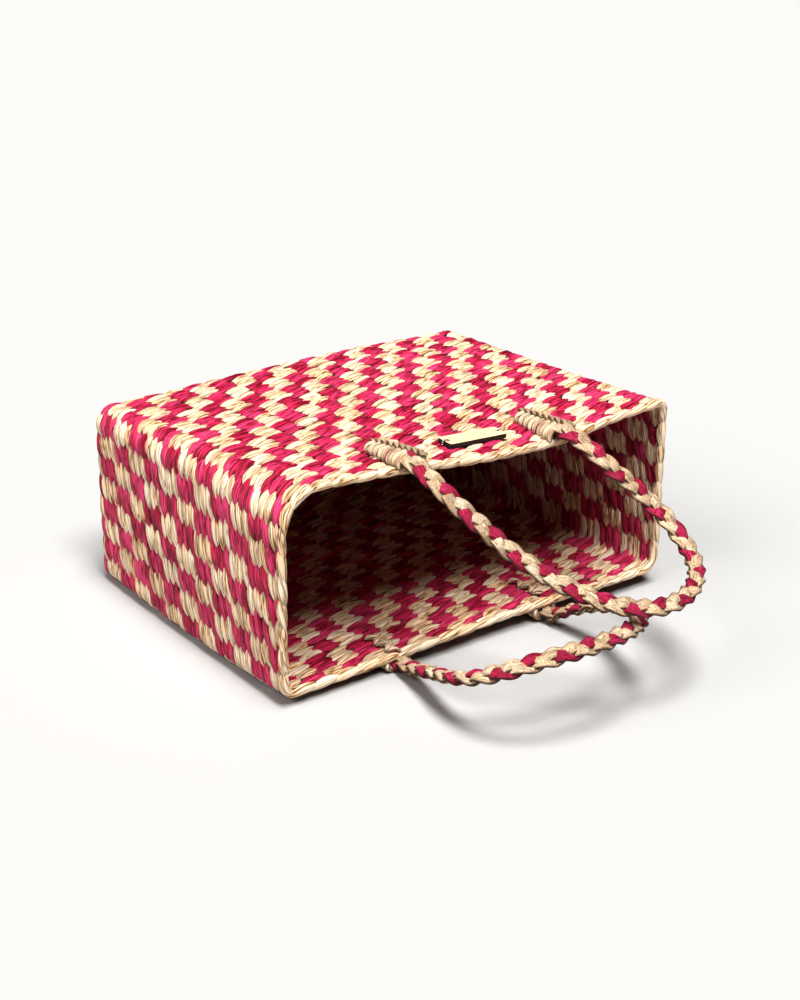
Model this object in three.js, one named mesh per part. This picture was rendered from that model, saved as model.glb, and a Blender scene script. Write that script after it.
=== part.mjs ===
// Seagrass tote bag, lying on its back panel with the mouth toward -Y and the base toward +Y.
// Millimetres, +Z up. The origin is on the floor, in the middle of the bag's footprint.

import * as THREE from 'three';

// Bag, outside sizes
const BAG_WIDTH = 336;
const BAG_HEIGHT = 240;
const BAG_DEPTH = 131;
const WALL = 5.5;
const EDGE_RADIUS = 16;
const BASE_RADIUS = 14;
const PANEL_BOW = 10;
const CLEARANCE = 0.3;

// Plaited border round the mouth
const RIM_WIDTH = 8;
const RIM_PROUD = 0.5;

// Straw lashings that hold the handles to the panels
const LASHING_LENGTH = 40;
const LASHING_WIDTH = 20;
const LASHING_HEIGHT = 11;
const FRONT_LASHING_HEIGHT = 8.5;
const LASHING_WRAPS = 8;
const WRAP_GROOVE = 0.9;

// Where each lashing's middle lies across the bag, at its rear end and at the mouth
const FEET = [
  { name: 'lashing_front_left', rearX: -68, mouthX: -67, front: true },
  { name: 'lashing_front_right', rearX: 62, mouthX: 63, front: true },
  { name: 'lashing_back_left', rearX: -77, mouthX: -75, front: false },
  { name: 'lashing_back_right', rearX: 56, mouthX: 56, front: false },
];

// Braided handles, and their routes over the floor from left lashing to right lashing
const HANDLE_DIAMETER = 11;
const HANDLE_SIDES = 10;
const HANDLE_STEPS = 36;
const BACK_ROUTE = [
  [-75, -123.7, 6.1], [-75, -129, 6.3], [-78, -146, 12], [-83, -169, 21], [-88, -192, 30], [-87, -214, 40],
  [-76, -232, 50], [-56, -244, 57], [-32, -249, 59], [-8, -248, 58], [16, -242, 56], [36, -229, 51],
  [50, -210, 44], [58, -188, 36], [60, -165, 27], [58, -144, 16], [56, -129, 6.3], [56, -123.7, 6.1],
];
const FRONT_ROUTE = [
  [-70.5, -117.8, 146.8], [-70.5, -123, 146.6], [-69.5, -130, 143.8], [-68, -139, 139.5], [-66, -148, 135],
  [-62.5, -159, 128], [-55, -172, 118], [-41, -186, 102], [-28, -203, 90], [-14, -221, 81], [4, -236, 73],
  [26, -247, 69], [51, -247.5, 68], [74, -238.5, 69], [93, -222, 70.5], [104, -202, 76], [104, -183, 88],
  [97, -170, 99.5], [87, -162.5, 111], [77, -157, 120], [71, -151, 127], [67, -142, 133.5],
  [64, -133, 138], [62, -124, 140.6], [62, -117.8, 140.8],
];

// Wooden tag and its ties
const TAG_LENGTH = 50;
const TAG_WIDTH = 14;
const TAG_THICKNESS = 3;
const TAG_CORNER = 1.5;
const TAG_HOLE = 2.4;
const TAG_HOLE_INSET = 3.4;
const TAG_FROM_RIM = 25;
const TAG_X = 6;
const TIE_THREAD = 1;

// Points round one section of the shell
const CORNER_STEPS = 6;
const PANEL_STEPS = 16;
const GUSSET_STEPS = 6;
const BASE_ROUND_STEPS = 4;

// Sections from the base (station 0) to the mouth (station 1). Half widths are shares of half the bag's
// width, heights are shares of its depth above the back panel's plane, bows are shares of the panel bow
// and radii are shares of the edge radius.
const SECTIONS = [
  {
    station: 0.00, left: 0.985, right: 0.985, topLeft: 1.000, topRight: 1.030, topBow: 0.25, gussetBow: 0.0,
    backLeft: 0.000, backRight: 0.000, backBow: 0.00,
    topRoundLeft: 1.0, topRoundRight: 0.9, backRoundLeft: 0.6, backRoundRight: 0.7,
  },
  {
    station: 0.20, left: 0.995, right: 0.990, topLeft: 1.005, topRight: 1.020, topBow: 0.20, gussetBow: 0.1,
    backLeft: -0.003, backRight: 0.000, backBow: 0.05,
    topRoundLeft: 1.0, topRoundRight: 0.9, backRoundLeft: 0.6, backRoundRight: 0.7,
  },
  {
    station: 0.45, left: 1.000, right: 0.995, topLeft: 1.012, topRight: 1.010, topBow: 0.05, gussetBow: 0.2,
    backLeft: -0.028, backRight: -0.015, backBow: 0.15,
    topRoundLeft: 1.1, topRoundRight: 0.9, backRoundLeft: 0.5, backRoundRight: 0.7,
  },
  {
    station: 0.70, left: 1.000, right: 1.000, topLeft: 1.022, topRight: 1.005, topBow: -0.25, gussetBow: 0.2,
    backLeft: -0.042, backRight: -0.020, backBow: 0.20,
    topRoundLeft: 1.4, topRoundRight: 0.8, backRoundLeft: 0.5, backRoundRight: 0.8,
  },
  {
    station: 0.90, left: 1.002, right: 1.005, topLeft: 1.027, topRight: 0.998, topBow: -0.74, gussetBow: 0.1,
    backLeft: -0.048, backRight: -0.020, backBow: 0.25,
    topRoundLeft: 1.8, topRoundRight: 0.6, backRoundLeft: 0.6, backRoundRight: 0.9,
  },
  {
    station: 1.00, left: 1.000, right: 1.007, topLeft: 1.028, topRight: 0.999, topBow: -1.00, gussetBow: 0.0,
    backLeft: -0.042, backRight: -0.018, backBow: 0.25,
    topRoundLeft: 1.9, topRoundRight: 0.5, backRoundLeft: 0.6, backRoundRight: 1.0,
  },
];
const BOW_CENTRE = 0.22;

const COLOURS = {
  weave: 0xc04a6a,
  straw: 0xd9bd86,
  wood: 0xd8b184,
  thread: 0xe8e4da,
};

function strawMaterial(colour, roughness) {
  return new THREE.MeshStandardMaterial({ color: colour, roughness, metalness: 0 });
}

// The table's values at any station between its rows, on a smooth curve through them.
function sectionAt(station) {
  const s = Math.min(Math.max(station, 0), 1);
  let row = 0;
  while (row < SECTIONS.length - 2 && SECTIONS[row + 1].station < s) row += 1;
  const before = SECTIONS[Math.max(row - 1, 0)];
  const from = SECTIONS[row];
  const to = SECTIONS[row + 1];
  const after = SECTIONS[Math.min(row + 2, SECTIONS.length - 1)];
  const span = to.station - from.station;
  const t = (s - from.station) / span;
  const result = {};
  for (const key of Object.keys(from)) {
    const slopeFrom = (to[key] - before[key]) / Math.max(to.station - before.station, span);
    const slopeTo = (after[key] - from[key]) / Math.max(after.station - from.station, span);
    const t2 = t * t;
    const t3 = t2 * t;
    result[key] = (2 * t3 - 3 * t2 + 1) * from[key] + (t3 - 2 * t2 + t) * span * slopeFrom
      + (3 * t2 - 2 * t3) * to[key] + (t3 - t2) * span * slopeTo;
  }
  return result;
}

// One closed loop round the bag, as points in X and Z, moved inward by inset.
// It starts at the lower left and runs up the left gusset, along the front panel and back underneath.
function sectionLoop(station, inset) {
  const row = sectionAt(station);
  const left = -row.left * BAG_WIDTH / 2 + inset;
  const right = row.right * BAG_WIDTH / 2 - inset;
  const topLeft = row.topLeft * BAG_DEPTH - inset;
  const topRight = row.topRight * BAG_DEPTH - inset;
  const backLeft = row.backLeft * BAG_DEPTH + inset;
  const backRight = row.backRight * BAG_DEPTH + inset;
  const radius = (share) => Math.max(share * EDGE_RADIUS - inset, 2);
  const topRoundLeft = radius(row.topRoundLeft);
  const topRoundRight = radius(row.topRoundRight);
  const backRoundLeft = radius(row.backRoundLeft);
  const backRoundRight = radius(row.backRoundRight);
  const points = [];
  const corner = (x, z, r, fromAngle) => {
    for (let i = 0; i <= CORNER_STEPS; i += 1) {
      const angle = fromAngle - (i / CORNER_STEPS) * Math.PI / 2;
      points.push([x + r * Math.cos(angle), z + r * Math.sin(angle)]);
    }
  };
  const side = (steps, from, to, pushX, pushZ, centre) => {
    for (let i = 1; i < steps; i += 1) {
      const t = i / steps;
      const peak = 0.5 + centre / 2;
      const u = t < peak ? t / peak : (1 - t) / (1 - peak);
      const bow = (1 - Math.cos(Math.PI * u)) / 2;
      const x = from[0] + (to[0] - from[0]) * t;
      const z = from[1] + (to[1] - from[1]) * t;
      points.push([x + pushX * bow, z + pushZ * bow]);
    }
  };
  const gusset = row.gussetBow * PANEL_BOW;
  const top = row.topBow * PANEL_BOW;
  const back = row.backBow * PANEL_BOW;
  corner(left + topRoundLeft, topLeft - topRoundLeft, topRoundLeft, Math.PI);
  side(PANEL_STEPS, [left + topRoundLeft, topLeft], [right - topRoundRight, topRight], 0, top, BOW_CENTRE);
  corner(right - topRoundRight, topRight - topRoundRight, topRoundRight, Math.PI / 2);
  side(GUSSET_STEPS, [right, topRight - topRoundRight], [right, backRight + backRoundRight], gusset, 0, 0);
  corner(right - backRoundRight, backRight + backRoundRight, backRoundRight, 0);
  side(PANEL_STEPS, [right - backRoundRight, backRight], [left + backRoundLeft, backLeft], 0, back, -BOW_CENTRE);
  corner(left + backRoundLeft, backLeft + backRoundLeft, backRoundLeft, -Math.PI / 2);
  side(GUSSET_STEPS, [left, backLeft + backRoundLeft], [left, topLeft - topRoundLeft], -gusset, 0, 0);
  return points;
}

// A closed solid from a list of rings, each an equal number of points, run in order and closed round.
// The first and last ring are capped with a fan round their middle, or joined to each other when looped.
function solidFromRings(rings, looped) {
  const count = rings[0].length;
  const vertices = rings.flat();
  const faces = [];
  const last = looped ? rings.length : rings.length - 1;
  for (let r = 0; r < last; r += 1) {
    const a = r * count;
    const b = ((r + 1) % rings.length) * count;
    for (let i = 0; i < count; i += 1) {
      const j = (i + 1) % count;
      faces.push([a + i, a + j, b + j], [a + i, b + j, b + i]);
    }
  }
  if (!looped) {
    const cap = (start, flip) => {
      const middle = [0, 1, 2].map((k) => {
        let sum = 0;
        for (let i = 0; i < count; i += 1) sum += vertices[start + i][k];
        return sum / count;
      });
      const centre = vertices.push(middle) - 1;
      for (let i = 0; i < count; i += 1) {
        const j = (i + 1) % count;
        faces.push(flip ? [centre, start + j, start + i] : [centre, start + i, start + j]);
      }
    };
    cap(0, true);
    cap((rings.length - 1) * count, false);
  }
  const geometry = new THREE.BufferGeometry();
  geometry.setAttribute('position', new THREE.Float32BufferAttribute(vertices.flat(), 3));
  geometry.setIndex(faces.flat());
  if (signedVolume(geometry) < 0) geometry.setIndex(faces.map(([a, b, c]) => [a, c, b]).flat());
  geometry.computeVertexNormals();
  return geometry;
}

function signedVolume(geometry) {
  const position = geometry.getAttribute('position');
  const index = geometry.getIndex();
  const corners = [new THREE.Vector3(), new THREE.Vector3(), new THREE.Vector3()];
  let volume = 0;
  for (let i = 0; i < index.count; i += 3) {
    corners.forEach((corner, k) => corner.fromBufferAttribute(position, index.getX(i + k)));
    volume += corners[0].dot(corners[1].clone().cross(corners[2])) / 6;
  }
  return volume;
}

function lengthwise(station) {
  return BAG_HEIGHT / 2 - station * BAG_HEIGHT;
}

function ringAt(station, inset, y) {
  return sectionLoop(station, inset).map(([x, z]) => [x, y, z]);
}

// The woven shell: outer skin from the base to the mouth, then the inner skin back to the base.
// The edge between the base and the walls is a quarter round.
function bagBody() {
  const rimShare = RIM_WIDTH / BAG_HEIGHT;
  const mouth = 1 - rimShare;
  const rings = [];
  const roundedBase = (radius, extraInset, baseY) => {
    const result = [];
    for (let i = 0; i <= BASE_ROUND_STEPS; i += 1) {
      const angle = (i / BASE_ROUND_STEPS) * Math.PI / 2;
      const inset = extraInset + radius * (1 - Math.sin(angle));
      const y = baseY - radius * (1 - Math.cos(angle));
      result.push(ringAt((BAG_HEIGHT / 2 - y) / BAG_HEIGHT, inset, y));
    }
    return result;
  };
  const between = [0.14, 0.24, 0.36, 0.48, 0.60, 0.70, 0.79, 0.87, 0.93];
  rings.push(...roundedBase(BASE_RADIUS, 0, BAG_HEIGHT / 2));
  for (const station of [...between, mouth]) rings.push(ringAt(station, 0, lengthwise(station)));
  for (const station of [mouth, ...between.slice().reverse()]) {
    rings.push(ringAt(station, WALL, lengthwise(station)));
  }
  rings.push(...roundedBase(BASE_RADIUS - WALL, WALL, BAG_HEIGHT / 2 - WALL).reverse());
  return solidFromRings(rings, false);
}

// The plaited border: a rounded bead, a little thicker than the wall, that runs round the mouth.
function rimBinding() {
  const half = WALL / 2 + RIM_PROUD;
  const width = RIM_WIDTH - CLEARANCE;
  const profile = [
    { inset: -1.0, along: 0.25 },
    { inset: -1.0, along: 0.70 },
    { inset: -0.5, along: 1.00 },
    { inset: 0.5, along: 1.00 },
    { inset: 1.0, along: 0.70 },
    { inset: 1.0, along: 0.25 },
    { inset: 0.6, along: 0.00 },
    { inset: -0.6, along: 0.00 },
  ];
  const start = 1 - RIM_WIDTH / BAG_HEIGHT + CLEARANCE / BAG_HEIGHT;
  const rings = profile.map(({ inset, along }) => {
    const y = lengthwise(start) - along * width;
    return ringAt(1, WALL / 2 + inset * half, y);
  });
  return solidFromRings(rings, true);
}

// Height of a panel's outer face above the back panel's plane, at one place across the bag.
function panelHeight(station, x, front) {
  const loop = sectionLoop(station, 0);
  const beforeBack = 3 * CORNER_STEPS + PANEL_STEPS + GUSSET_STEPS;
  const first = front ? CORNER_STEPS : beforeBack;
  const face = loop.slice(first, first + PANEL_STEPS + 1);
  for (let i = 0; i < face.length - 1; i += 1) {
    const [xa, za] = face[i];
    const [xb, zb] = face[i + 1];
    if ((xa - x) * (xb - x) <= 0) return za + (zb - za) * (x - xa) / (xb - xa);
  }
  return face[0][1];
}

// The bag leans on its back lashings, so their height sets how far the mouth lifts off the floor.
const ARC_CENTRE_Y = BAG_HEIGHT / 2 - BASE_RADIUS;
const MOUTH_Y = -BAG_HEIGHT / 2;
const LEAN = Math.atan(LASHING_HEIGHT / (ARC_CENTRE_Y - MOUTH_Y));

// Depth of a lashing at one place: it fills the wedge between the back panel's plane and the floor.
function lashingDepth(y) {
  return (ARC_CENTRE_Y - y) * Math.tan(LEAN);
}

// A lashing: straw wrapped side by side over the flat end of the braid, with a hitched ridge along one side.
const LASHING_OUTLINE = [
  { across: -0.46, out: 0.00 },
  { across: -0.50, out: 0.30 },
  { across: -0.43, out: 0.70 },
  { across: -0.24, out: 0.96 },
  { across: 0.02, out: 1.00 },
  { across: 0.20, out: 0.90 },
  { across: 0.34, out: 0.98 },
  { across: 0.47, out: 0.80 },
  { across: 0.50, out: 0.40 },
  { across: 0.44, out: 0.00 },
];

function lashing({ rearX, mouthX, front }) {
  const rings = [];
  const stations = LASHING_WRAPS * 2;
  for (let i = 0; i <= stations; i += 1) {
    const along = i / stations;
    const y = MOUTH_Y - CLEARANCE + LASHING_LENGTH * (1 - along);
    const footX = rearX + (mouthX - rearX) * along;
    const groove = i % 2 === 0 ? WRAP_GROOVE : 0;
    const overRim = y < MOUTH_Y + RIM_WIDTH + CLEARANCE;
    const station = (BAG_HEIGHT / 2 - Math.max(y, MOUTH_Y)) / BAG_HEIGHT;
    rings.push(LASHING_OUTLINE.map(({ across, out }) => {
      const x = footX + across * (LASHING_WIDTH - groove);
      const panel = panelHeight(station, x, front);
      const seat = (overRim ? RIM_PROUD : 0) + CLEARANCE;
      const full = lashingDepth(y) * (front ? FRONT_LASHING_HEIGHT / LASHING_HEIGHT : 1) - groove;
      if (front) return [x, y, panel + seat + (full - seat) * out];
      return [x, y, panel - seat - (full + panel - seat) * out];
    }));
  }
  return solidFromRings(rings, false);
}

// A braided handle, as a plain tube along its chosen route.
function handle(route) {
  const points = route.map(([x, y, z]) => new THREE.Vector3(x, y, z));
  const path = new THREE.CatmullRomCurve3(points, false, 'centripetal');
  const section = new THREE.Shape();
  for (let i = 0; i < HANDLE_SIDES; i += 1) {
    const angle = (i / HANDLE_SIDES) * 2 * Math.PI;
    const x = Math.cos(angle) * HANDLE_DIAMETER / 2;
    const y = Math.sin(angle) * HANDLE_DIAMETER / 2;
    if (i === 0) section.moveTo(x, y);
    else section.lineTo(x, y);
  }
  return new THREE.ExtrudeGeometry(section, { steps: HANDLE_STEPS, extrudePath: path, bevelEnabled: false });
}

// The tag: a thin strip of wood with rounded corners and a hole near each end.
function tagPlate() {
  const halfLength = TAG_LENGTH / 2;
  const halfWidth = TAG_WIDTH / 2;
  const outline = new THREE.Shape();
  const corners = [[1, 1], [-1, 1], [-1, -1], [1, -1]];
  corners.forEach(([sx, sy], i) => {
    const cx = sx * (halfLength - TAG_CORNER);
    const cy = sy * (halfWidth - TAG_CORNER);
    outline.absarc(cx, cy, TAG_CORNER, i * Math.PI / 2, (i + 1) * Math.PI / 2, false);
  });
  for (const end of [-1, 1]) {
    const hole = new THREE.Path();
    hole.absarc(end * (halfLength - TAG_HOLE_INSET), 0, TAG_HOLE / 2, 0, 2 * Math.PI, true);
    outline.holes.push(hole);
  }
  return new THREE.ExtrudeGeometry(outline, { depth: TAG_THICKNESS, bevelEnabled: false, curveSegments: 6 });
}

// A thread tie: down through the hole, over the end of the tag and down beside it.
function tagTie(end) {
  const inside = end * (TAG_LENGTH / 2 - TAG_HOLE_INSET);
  const outside = end * (TAG_LENGTH / 2 + CLEARANCE + TIE_THREAD);
  const top = TAG_THICKNESS + CLEARANCE + TIE_THREAD / 2;
  const points = [[inside, 0], [inside, TAG_THICKNESS], [inside + end * TIE_THREAD / 2, top],
    [outside - end * TIE_THREAD / 2, top], [outside, TAG_THICKNESS], [outside, 0]];
  const path = new THREE.CurvePath();
  for (let i = 0; i < points.length - 1; i += 1) {
    const [xa, za] = points[i];
    const [xb, zb] = points[i + 1];
    path.add(new THREE.LineCurve3(new THREE.Vector3(xa, 0, za), new THREE.Vector3(xb, 0, zb)));
  }
  const section = new THREE.Shape();
  section.absarc(0, 0, TIE_THREAD / 2, 0, 2 * Math.PI, false);
  return new THREE.ExtrudeGeometry(section, { steps: 24, extrudePath: path, bevelEnabled: false, curveSegments: 4 });
}

const group = new THREE.Group();
const bag = new THREE.Group();
group.add(bag);

function add(parent, name, geometry, material) {
  const mesh = new THREE.Mesh(geometry, material);
  mesh.name = name;
  parent.add(mesh);
  return mesh;
}

const weave = strawMaterial(COLOURS.weave, 0.75);
const straw = strawMaterial(COLOURS.straw, 0.7);
const wood = strawMaterial(COLOURS.wood, 0.6);
const thread = strawMaterial(COLOURS.thread, 0.8);

add(bag, 'bag_body', bagBody(), weave);
add(bag, 'rim_binding', rimBinding(), straw);
for (const foot of FEET) add(bag, foot.name, lashing(foot), straw);

// The tag lies on the front panel, turned to the panel's slope.
const tag = new THREE.Group();
const tagY = MOUTH_Y + TAG_FROM_RIM;
const heightAt = (x, y) => panelHeight((BAG_HEIGHT / 2 - y) / BAG_HEIGHT, x, true);
const underLeft = heightAt(TAG_X - TAG_LENGTH / 2, tagY);
const underRight = heightAt(TAG_X + TAG_LENGTH / 2, tagY);
const underRear = heightAt(TAG_X, tagY + TAG_WIDTH / 2);
const underMouth = heightAt(TAG_X, tagY - TAG_WIDTH / 2);
const rollSlope = (underRight - underLeft) / TAG_LENGTH;
const pitchSlope = (underRear - underMouth) / TAG_WIDTH;
const tagSeat = (underLeft + underRight) / 2;
tag.position.set(TAG_X, tagY, tagSeat + CLEARANCE);
tag.rotation.set(Math.atan(pitchSlope), -Math.atan(rollSlope), 0);
bag.add(tag);
add(tag, 'tag', tagPlate(), wood);
add(tag, 'tag_tie_left', tagTie(-1), thread);
add(tag, 'tag_tie_right', tagTie(1), thread);

// Lean the bag on its back lashings and set the origin on the floor, under the middle of its outline.
bag.rotation.x = -LEAN;
const outlineBox = new THREE.Box3().setFromObject(bag, true);
bag.position.x = -(outlineBox.min.x + outlineBox.max.x) / 2;
bag.position.y = -(outlineBox.min.y + outlineBox.max.y) / 2;
bag.position.z = -outlineBox.min.z;

add(group, 'handle_back', handle(BACK_ROUTE), straw);
add(group, 'handle_front', handle(FRONT_ROUTE), straw);

export default group;
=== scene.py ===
"""A seagrass tote bag in a pink and natural checker, lying on its back panel, mouth to the viewer."""

import math

import bpy
from mathutils import Matrix, Vector


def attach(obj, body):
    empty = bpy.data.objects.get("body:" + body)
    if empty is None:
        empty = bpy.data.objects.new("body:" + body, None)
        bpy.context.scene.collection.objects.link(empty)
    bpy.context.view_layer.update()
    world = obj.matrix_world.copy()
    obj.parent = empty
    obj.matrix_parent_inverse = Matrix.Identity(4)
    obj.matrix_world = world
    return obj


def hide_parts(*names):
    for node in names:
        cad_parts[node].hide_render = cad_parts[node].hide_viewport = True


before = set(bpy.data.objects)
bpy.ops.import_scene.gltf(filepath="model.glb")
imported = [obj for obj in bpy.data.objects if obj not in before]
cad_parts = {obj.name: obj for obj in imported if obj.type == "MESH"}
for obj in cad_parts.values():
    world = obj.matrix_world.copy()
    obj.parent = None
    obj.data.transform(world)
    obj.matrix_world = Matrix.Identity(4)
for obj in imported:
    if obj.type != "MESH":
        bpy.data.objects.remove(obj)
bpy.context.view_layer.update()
scene = bpy.context.scene

# Camera
# It stands to the left of the mouth, a little above the bag, and looks down into it.
view_back = Vector((-0.58206758, -0.71446366, 0.38825121))
view_up = Vector((0.21381923, 0.32618463, 0.92080667))
view_right = view_up.cross(view_back)
lens = bpy.data.cameras.new("camera")
lens.sensor_width = 36.0
lens.lens = 63.107
camera = bpy.data.objects.new("camera", lens)
camera.matrix_world = (
    Matrix.Translation((-0.7241281, -0.9134847, 0.5531064))
    @ Matrix((view_right, view_up, view_back)).transposed().to_4x4()
)
scene.collection.objects.link(camera)
scene.camera = camera
scene.view_settings.view_transform = "Standard"
scene.view_settings.gamma = 0.80


class Flow:
    """A value that runs between the nodes of one tree, so that a formula reads as it is written."""

    def __init__(self, tree, socket):
        self.tree = tree
        self.socket = socket
        self.vector = socket.type == "VECTOR"

    def math(self, operation, *others):
        values = (self, *others)
        vector = any(isinstance(v, Flow) and v.vector for v in values)
        node = self.tree.nodes.new("ShaderNodeVectorMath" if vector else "ShaderNodeMath")
        node.operation = operation
        for socket, value in zip([s for s in node.inputs if s.enabled], values):
            connect(self.tree, socket, value)
        return Flow(self.tree, next(s for s in node.outputs if s.enabled))

    def __add__(self, other):
        return self.math("ADD", other)

    def __sub__(self, other):
        return self.math("SUBTRACT", other)

    def __mul__(self, other):
        return self.math("MULTIPLY", other)

    def __truediv__(self, other):
        return self.math("DIVIDE", other)


def connect(tree, socket, value):
    """Puts a value on a socket, or runs a link to it."""
    if isinstance(value, Flow):
        tree.links.new(value.socket, socket)
    elif socket.type == "VECTOR" and isinstance(value, (int, float)):
        socket.default_value = (value, value, value)
    else:
        socket.default_value = value


def node(tree, kind, output=0, settings=None, **values):
    """A new node with its inputs filled by name, as the flow of one of its outputs."""
    made = tree.nodes.new(kind)
    for name, value in (settings or {}).items():
        setattr(made, name, value)
    for name, value in values.items():
        wanted = name.replace("_", " ").lower()
        socket = next(s for s in made.inputs if s.enabled and s.name.lower() == wanted)
        connect(tree, socket, value)
    outputs = [s for s in made.outputs if s.enabled]
    if isinstance(output, str):
        return Flow(tree, next(s for s in outputs if s.name == output))
    return Flow(tree, outputs[output])


def parts_of(tree, vector):
    """The three numbers of a vector."""
    made = tree.nodes.new("ShaderNodeSeparateXYZ")
    connect(tree, made.inputs[0], vector)
    return [Flow(tree, s) for s in made.outputs]


def joined(tree, x, y, z):
    return node(tree, "ShaderNodeCombineXYZ", x=x, y=y, z=z)


def random(tree, low, high, number, seed):
    """A value between low and high that depends on a number and a seed alone."""
    return node(tree, "FunctionNodeRandomValue", min=low, max=high, id=number, seed=seed)


def stored(tree, geometry, name, value, kind="FLOAT"):
    """The geometry with a value written on every point under a name."""
    return node(
        tree,
        "GeometryNodeStoreNamedAttribute",
        settings={"data_type": kind, "domain": "POINT"},
        geometry=geometry,
        name=name,
        value=value,
    )


def read(tree, name, kind="FLOAT"):
    return node(tree, "GeometryNodeInputNamedAttribute", settings={"data_type": kind}, name=name)


def shape_tree(name, inputs):
    """A new geometry tree with named inputs, and the flows of those inputs."""
    tree = bpy.data.node_groups.new(name, "GeometryNodeTree")
    tree.interface.new_socket("Geometry", in_out="OUTPUT", socket_type="NodeSocketGeometry")
    tree.interface.new_socket("Geometry", in_out="INPUT", socket_type="NodeSocketGeometry")
    for label, kind in inputs.items():
        tree.interface.new_socket(label, in_out="INPUT", socket_type="NodeSocket" + kind)
    start = tree.nodes.new("NodeGroupInput")
    return tree, {s.name: Flow(tree, s) for s in start.outputs if s.name}


def finish_tree(tree, geometry, material):
    """Smooth, realized, in its material, and out."""
    geometry = node(tree, "GeometryNodeSetShadeSmooth", geometry=geometry)
    geometry = node(tree, "GeometryNodeRealizeInstances", geometry=geometry)
    geometry = node(tree, "GeometryNodeSetMaterial", geometry=geometry, material=material)
    tree.links.new(geometry.socket, tree.nodes.new("NodeGroupOutput").inputs[0])


def grown(name, base, tree, inputs):
    """The piece that a geometry tree makes from a base mesh or curve."""
    seed_object = bpy.data.objects.new(name + " base", base)
    scene.collection.objects.link(seed_object)
    modifier = seed_object.modifiers.new("shape", "NODES")
    modifier.node_group = tree
    for item in tree.interface.items_tree:
        if item.in_out == "INPUT" and item.name in inputs:
            modifier[item.identifier] = inputs[item.name]
    graph = bpy.context.evaluated_depsgraph_get()
    mesh = bpy.data.meshes.new_from_object(
        seed_object.evaluated_get(graph), preserve_all_data_layers=True, depsgraph=graph
    )
    bpy.data.objects.remove(seed_object)
    mesh.name = name
    piece = bpy.data.objects.new(name, mesh)
    scene.collection.objects.link(piece)
    return piece


def curve_from(name, line):
    """Curve data that runs straight from each point of a line to the next."""
    curve = bpy.data.curves.new(name, "CURVE")
    curve.dimensions = "3D"
    spline = curve.splines.new("POLY")
    spline.points.add(len(line) - 1)
    for point, place in zip(spline.points, line):
        point.co = (*place, 1.0)
    return curve


# Straw
# Dry seagrass blades, plain or dyed pink. Fine fibres run along each blade, and no two have the same tone.
# The straw material paints shade into the colour: each blade darkens where it sits low at its edges and
# along its splits, tinted warm.
FIBRES_ACROSS = 5.0
SPLITS_ACROSS = 1.9
SPOTS_ACROSS = 0.8
SPLIT_SHARPNESS = 16.0
EDGE_PAINTED_SHADE = 0.12
SPLIT_PAINTED_SHADE = 0.55
fibres = bpy.data.node_groups.new("straw fibres", "ShaderNodeTree")
for label, kind in {"Blade": "Vector", "Number": "Float", "Coarseness": "Float"}.items():
    fibres.interface.new_socket(label, in_out="INPUT", socket_type="NodeSocket" + kind)
for label in ("Fibre", "Height", "Blotch", "Split"):
    fibres.interface.new_socket(label, in_out="OUTPUT", socket_type="NodeSocketFloat")
start = fibres.nodes.new("NodeGroupInput")
blade, number, coarseness = (Flow(fibres, start.outputs[i]) for i in range(3))
across, _, along = parts_of(fibres, blade)
fine = joined(fibres, across * FIBRES_ACROSS * coarseness, along * 0.55, number * 37.0)
broad = joined(fibres, across * SPLITS_ACROSS * coarseness, along * 0.35, number * 53.0)
spot = joined(fibres, across * SPOTS_ACROSS, along * 1.4, number * 71.0)
fine_noise = node(fibres, "ShaderNodeTexNoise", vector=fine, scale=1.6, detail=3.0, roughness=0.7)
broad_noise = node(fibres, "ShaderNodeTexNoise", vector=broad, scale=1.5, detail=1.0)
spot_noise = node(fibres, "ShaderNodeTexNoise", vector=spot, scale=1.1, detail=2.0)
end = fibres.nodes.new("NodeGroupOutput")
# Split also darkens the colour in the material, as painted shade in the grooves along each blade.
split = ((broad_noise - 0.5).math("ABSOLUTE") * SPLIT_SHARPNESS).math("MINIMUM", 1.0)
fibres.links.new((fine_noise * 0.75 + split * 0.25).socket, end.inputs["Fibre"])
fibres.links.new((split * 0.6 + fine_noise * 0.8).socket, end.inputs["Height"])
fibres.links.new(split.socket, end.inputs["Split"])
fibres.links.new(spot_noise.socket, end.inputs["Blotch"])


def ramp(tree, value, stops):
    """A colour that runs through the stops as a value grows."""
    made = tree.nodes.new("ShaderNodeValToRGB")
    connect(tree, made.inputs[0], value)
    while len(made.color_ramp.elements) < len(stops):
        made.color_ramp.elements.new(0.5)
    for element, (place, colour) in zip(made.color_ramp.elements, stops):
        element.position = place
        element.color = (*colour, 1.0)
    return Flow(tree, made.outputs["Color"])


def mixed(tree, share, a, b, way="MIX"):
    """One colour mixed with another, or multiplied by it."""
    made = tree.nodes.new("ShaderNodeMix")
    made.data_type = "RGBA"
    made.blend_type = way
    sockets = [s for s in made.inputs if s.enabled]
    for socket, value in zip(sockets, (share, a, b)):
        connect(tree, socket, value)
    return Flow(tree, next(s for s in made.outputs if s.enabled))


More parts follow.
